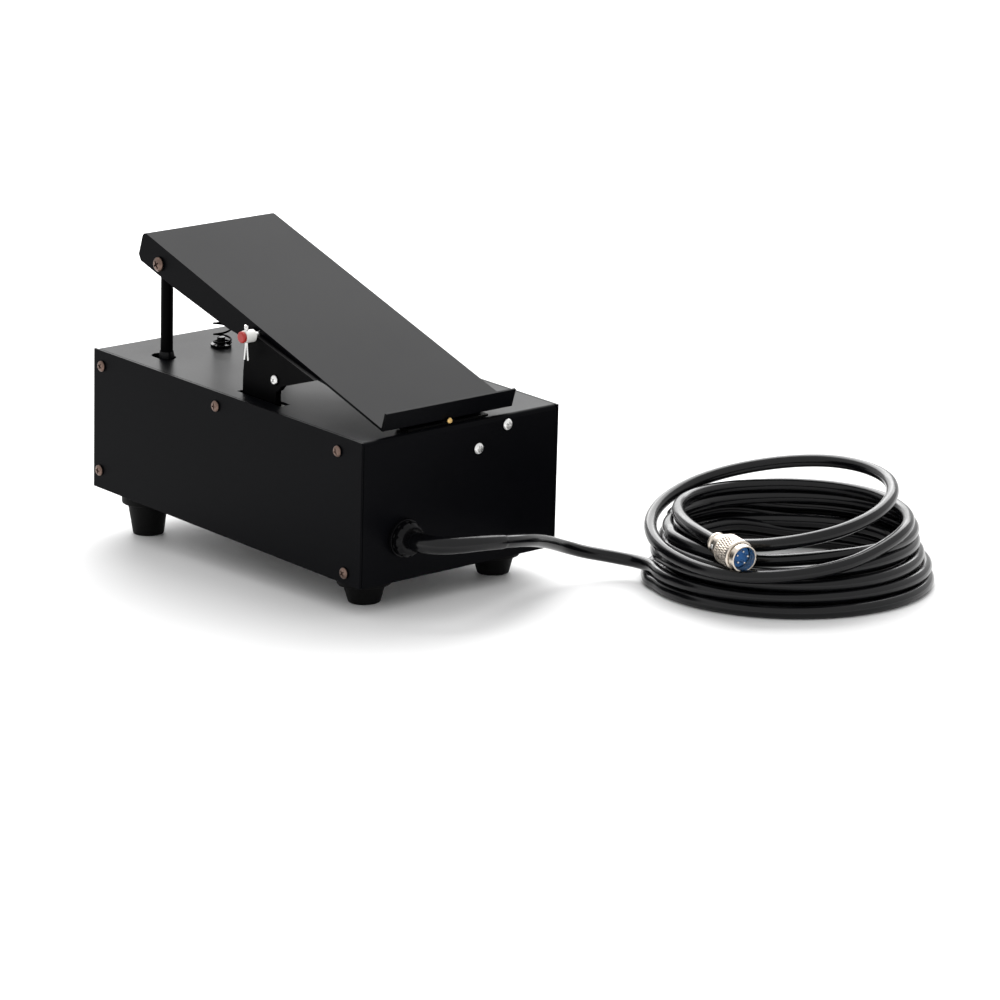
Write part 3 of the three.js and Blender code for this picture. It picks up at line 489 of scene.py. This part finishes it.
def make_connector():
    """Turned and knurled shell, cable clamp with two screws, insert with its contacts."""
    axis = PLUG_AXIS
    clamp_r, shell_r, ring_r = 6.3 * MM, 8 * MM, 9.25 * MM
    pieces = []

    def part(name, profile, node, body, slot, start, sides=72, ripple=None):
        mesh = lathe(name, rounded(profile, 0.35 * MM, 3), sides, ripple)
        at = PLUG + axis * start * MM
        piece = add_piece(name, mesh, body, slot, towards(axis, at), [node])
        pieces.append(piece)

    part("plug_clamp_turned", [
        (0, 0), (clamp_r * 0.78, 0), (clamp_r, 1.2 * MM), (clamp_r, 2.6 * MM), (clamp_r * 0.87, 3 * MM),
        (clamp_r * 0.87, 4.2 * MM), (clamp_r, 4.6 * MM), (clamp_r, 8.6 * MM), (0, 8.6 * MM),
    ], "plug_clamp", "box", "satin_nickel", -17)
    part("plug_shell_turned", [
        (0, 0), (shell_r * 0.92, 0), (shell_r, 0.8 * MM), (shell_r, 3.6 * MM), (shell_r, 24 * MM),
        (shell_r - 1 * MM, 24 * MM), (shell_r - 1 * MM, 11 * MM), (0, 11 * MM),
    ], "plug_shell", "box", "satin_nickel", -8)
    part("plug_insert_moulded", [
        (0, 0), (6.7 * MM, 0), (6.7 * MM, 6 * MM), (6.3 * MM, 6.2 * MM), (0, 6.2 * MM),
    ], "plug_insert", "box", "blue_insert", 3.3)

    def knurled(angle, radius, z):
        if radius < ring_r * 0.97 or not 1.2 * MM < z < 12.8 * MM:
            return radius
        slant = z / MM * 1.1
        return radius - 0.3 * MM * (1 - max(math.cos(36 * angle + slant), math.cos(36 * angle - slant)))

    rows = [(ring_r, (0.8 + 13.4 * i / 26) * MM) for i in range(27)]
    bore = shell_r + 0.3 * MM
    ring = lathe("plug_ring_knurled", [
        (bore, 0), (ring_r - 0.6 * MM, 0), *rows, (ring_r - 0.6 * MM, 15 * MM), (bore, 15 * MM), (bore, 0),
    ], 216, knurled)
    pieces.append(add_piece("plug_ring_knurled", ring, "coupling_ring", "satin_nickel",
                            towards(axis, PLUG - axis * 4 * MM), ["plug_ring"]))

    pin_profile = rounded([(0, 0), (0.6 * MM, 0), (0.6 * MM, 4.2 * MM), (0, 4.4 * MM)], 0.3 * MM)
    contact = lathe("contact", pin_profile, 16)
    side = axis.orthogonal().normalized()
    for i in range(5):
        spoke = Matrix.Rotation(2 * math.pi * (i + 0.5) / 5, 3, axis) @ side
        at = PLUG + axis * 9.3 * MM + spoke * 3.6 * MM
        pieces.append(add_piece(f"plug_contact_{i + 1}", contact, "box", "bright_steel", towards(axis, at)))
    clamp_screw = screw_mesh("clamp_screw", CLAMP_SCREW)
    across = axis.cross(UP).normalized()
    for i, way in enumerate((across, -across)):
        at = PLUG - axis * 10.5 * MM + way * (clamp_r - 0.3 * MM)
        screw = add_piece(f"plug_clamp_screw_{i + 1}", clamp_screw, "box", "bright_steel", towards(way, at))
        pieces.append(screw)
    return pieces


# ---------------------------------------------------------------- screws
def box_mesh(name, half):
    x, y, z = half
    points = [(sx * x, sy * y, sz * z) for sz in (-1, 1) for sy in (-1, 1) for sx in (-1, 1)]
    faces = [(0, 2, 3, 1), (4, 5, 7, 6), (0, 1, 5, 4), (2, 6, 7, 3), (0, 4, 6, 2), (1, 3, 7, 5)]
    return mesh_from(name, points, faces)


def screw_mesh(name, size):
    """Pan head with a cross recess, facing +Z, its underside at z 0."""
    head_r, head_h, shank = (length * MM for length in size)
    blank = lathe(name + "_blank", rounded([
        (0, -shank), (head_r * 0.5, -shank), (head_r * 0.5, 0), (head_r, 0),
        (head_r, head_h * 0.45), (head_r * 0.72, head_h * 0.9), (0, head_h),
    ], head_r * 0.12), 40)
    head = bpy.data.objects.new(name, blank)
    bpy.context.scene.collection.objects.link(head)
    tools = []
    for turn in (0, math.pi / 2):
        half = (head_r * 0.56, head_r * 0.13, head_h * 0.5)
        bar = bpy.data.objects.new(name + "_tool", box_mesh(name + "_tool", half))
        bar.matrix_world = Matrix.Translation((0, 0, head_h * 0.95)) @ Matrix.Rotation(turn, 4, "Z")
        bpy.context.scene.collection.objects.link(bar)
        recess = head.modifiers.new("recess", "BOOLEAN")
        recess.operation = "DIFFERENCE"
        recess.solver = "EXACT"
        recess.object = bar
        tools.append(bar)
    graph = bpy.context.evaluated_depsgraph_get()
    mesh = bpy.data.meshes.new_from_object(head.evaluated_get(graph))
    mesh.shade_smooth()
    mesh.set_sharp_from_angle(angle=math.radians(30))
    for tool in [head, *tools]:
        bpy.data.objects.remove(tool)
    mesh.materials.clear()
    return mesh


def make_screws():
    side = screw_mesh("side_screw", SIDE_SCREW)
    bolt = screw_mesh("rod_bolt", ROD_BOLT)
    small = screw_mesh("arm_screw", ARM_SCREW)
    foot_screw = screw_mesh("foot_screw", FOOT_SCREW)

    def fit(mesh, size, node, axis, slot, turn, body="box"):
        head_h, shank = size[1:]
        at = centre(node) + axis * (shank - head_h) / 2 * MM
        place = towards(axis, at) @ Matrix.Rotation(math.radians(turn), 4, "Z")
        add_piece(node + "_head", mesh, body, slot, place, [node])

    nodes = sorted(n for n in frame["nodes"] if n.startswith("side_screw"))
    for i, node in enumerate(nodes):
        fit(side, SIDE_SCREW, node, NEAR if node.endswith("near") else FAR, "screw_steel", 37 * i)
    fit(side, SIDE_SCREW, "front_screw_lower", ALONG, "bright_steel", 20)
    fit(side, SIDE_SCREW, "front_screw_upper", ALONG, "bright_steel", 65)
    fit(bolt, ROD_BOLT, "rod_bolt_near", NEAR, "screw_steel", 30, "pedal")
    fit(bolt, ROD_BOLT, "rod_bolt_far", FAR, "screw_steel", 10, "pedal")
    fit(small, ARM_SCREW, "arm_screw", NEAR, "bright_steel", 50, "pedal")
    for node in FEET:
        at = centre(node)
        at.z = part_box(node)[1].z - 8.5 * MM
        add_piece(node + "_screw", foot_screw, "box", "screw_steel", towards(-UP, at))


# ---------------------------------------------------------------- feet, spring, split pin
def make_feet():
    """Stepped rubber feet with rounded steps and a recess for the screw."""
    floor_r, step_r, recess_r, hole_r = 9.4 * MM, 12.4 * MM, 4.6 * MM, 2.6 * MM
    for node in FEET:
        low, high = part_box(node)
        height = high.z - low.z
        disc = height - 7.5 * MM
        rim = height - 0.9 * MM
        seat = height - 4 * MM
        outer = (high.x - low.x) / 2 - 0.1 * MM
        profile = rounded([
            (recess_r, 0), (floor_r, 0), (step_r - 0.2 * MM, disc - 1.2 * MM), (step_r, disc), (outer, disc),
            (outer, rim), (hole_r, rim), (hole_r, seat), (recess_r, seat), (recess_r, 0),
        ], 0.9 * MM)
        at = centre(node)
        at.z = low.z
        add_piece(node + "_moulded", lathe(node, profile, 72), "box", "rubber", towards(UP, at), [node])


def make_spring():
    """Compression spring with closed end turns."""
    low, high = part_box("return_spring")
    wire = WIRE_R["spring"]
    coil_r = (high.x - low.x) / 2 - wire
    base = centre("return_spring")
    turns, end_turns, per_turn = 11, 1, 28
    end_rise = 1.5 * wire
    start = low.z + 0.8 * wire
    open_rise = high.z - low.z - 1.6 * wire - 2 * end_rise * end_turns
    path = []
    for i in range(turns * per_turn + 1):
        turn = i / per_turn
        share = min(1, max(0, (turn - end_turns) / (turns - 2 * end_turns)))
        closed = end_rise * (min(turn, end_turns) + max(0, turn - turns + end_turns))
        angle = 2 * math.pi * turn
        across = Vector((coil_r * math.cos(angle), coil_r * math.sin(angle)))
        path.append(Vector((base.x + across.x, base.y + across.y, start + closed + share * open_rise)))
    spring = add_piece("return_spring_wound", sweep("return_spring_wound", path, lambda share: wire, 12),
                       "box", "black_steel", None, ["return_spring"])
    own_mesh(spring)


def make_split_pin():
    """Wire pin through the arm pin's sleeve, its two legs hanging below."""
    hub = centre("arm_pin_sleeve")
    for i, side in enumerate((-1, 1)):
        stations = [     # millimetres from the sleeve's middle: apart, out, up
            (0.7, -1.5, 6.6), (1.1, -1.5, 5.4), (0.7, -1.5, 3.5),
            (0.7, -1.5, -4), (1, -1.6, -8), (1.8, -1.8, -14),
        ]
        points = [hub + Vector((side * apart, out, up)) * MM for apart, out, up in stations]
        path = smooth_line(points, 0.8 * MM)
        leg = sweep(f"split_pin_leg_{i + 1}", path, lambda share: WIRE_R["split_pin"], 12)
        add_piece(f"split_pin_leg_{i + 1}", leg, "pedal", "bright_steel")


# ---------------------------------------------------------------- floor and light
def make_softbox(name, energy, at, width, height):
    """Rectangular light that faces the object."""
    data = bpy.data.lights.new(name, "AREA")
    data.energy = energy
    data.shape = "RECTANGLE"
    data.size = width
    data.size_y = height
    light = bpy.data.objects.new(name, data)
    light.location = at
    light.rotation_euler = (Vector((0, 0, 0.1)) - light.location).to_track_quat("-Z", "Y").to_euler()
    bpy.context.scene.collection.objects.link(light)


def make_stage():
    half = 14
    points = [(-half, -half, 0), (half, -half, 0), (half, half, 0), (-half, half, 0)]
    floor = bpy.data.objects.new("floor", mesh_from("floor", points, [(0, 1, 2, 3)]))
    floor.data.materials.append(procedural("pale_floor", (0.86, 0.86, 0.86), 0.6, grain=300, bump=0.02,
                                           patches=3, variation=0.01, specular=0.2))
    bpy.context.scene.collection.objects.link(floor)

    world = bpy.data.worlds.new("studio")
    world.use_nodes = True
    background = world.node_tree.nodes["Background"]
    background.inputs["Color"].default_value = (1, 1, 1, 1)
    background.inputs["Strength"].default_value = 1
    bpy.context.scene.world = world
    make_softbox("overhead_softbox", 58, (-0.98, 1.07, 1.5), 2.2, 1.7)
    make_softbox("rear_softbox", 8, (-1.75, 1.4, 0.8), 1.6, 0.8)
    bpy.context.scene.view_settings.view_transform = "Standard"


# ---------------------------------------------------------------- build
lead_path = lead_line()
lead = make_lead(lead_path)
relief = make_relief(lead_path)
gland = make_gland()
connector = make_connector()
make_screws()
make_feet()
make_spring()
make_split_pin()
finish_nodes()
make_stage()
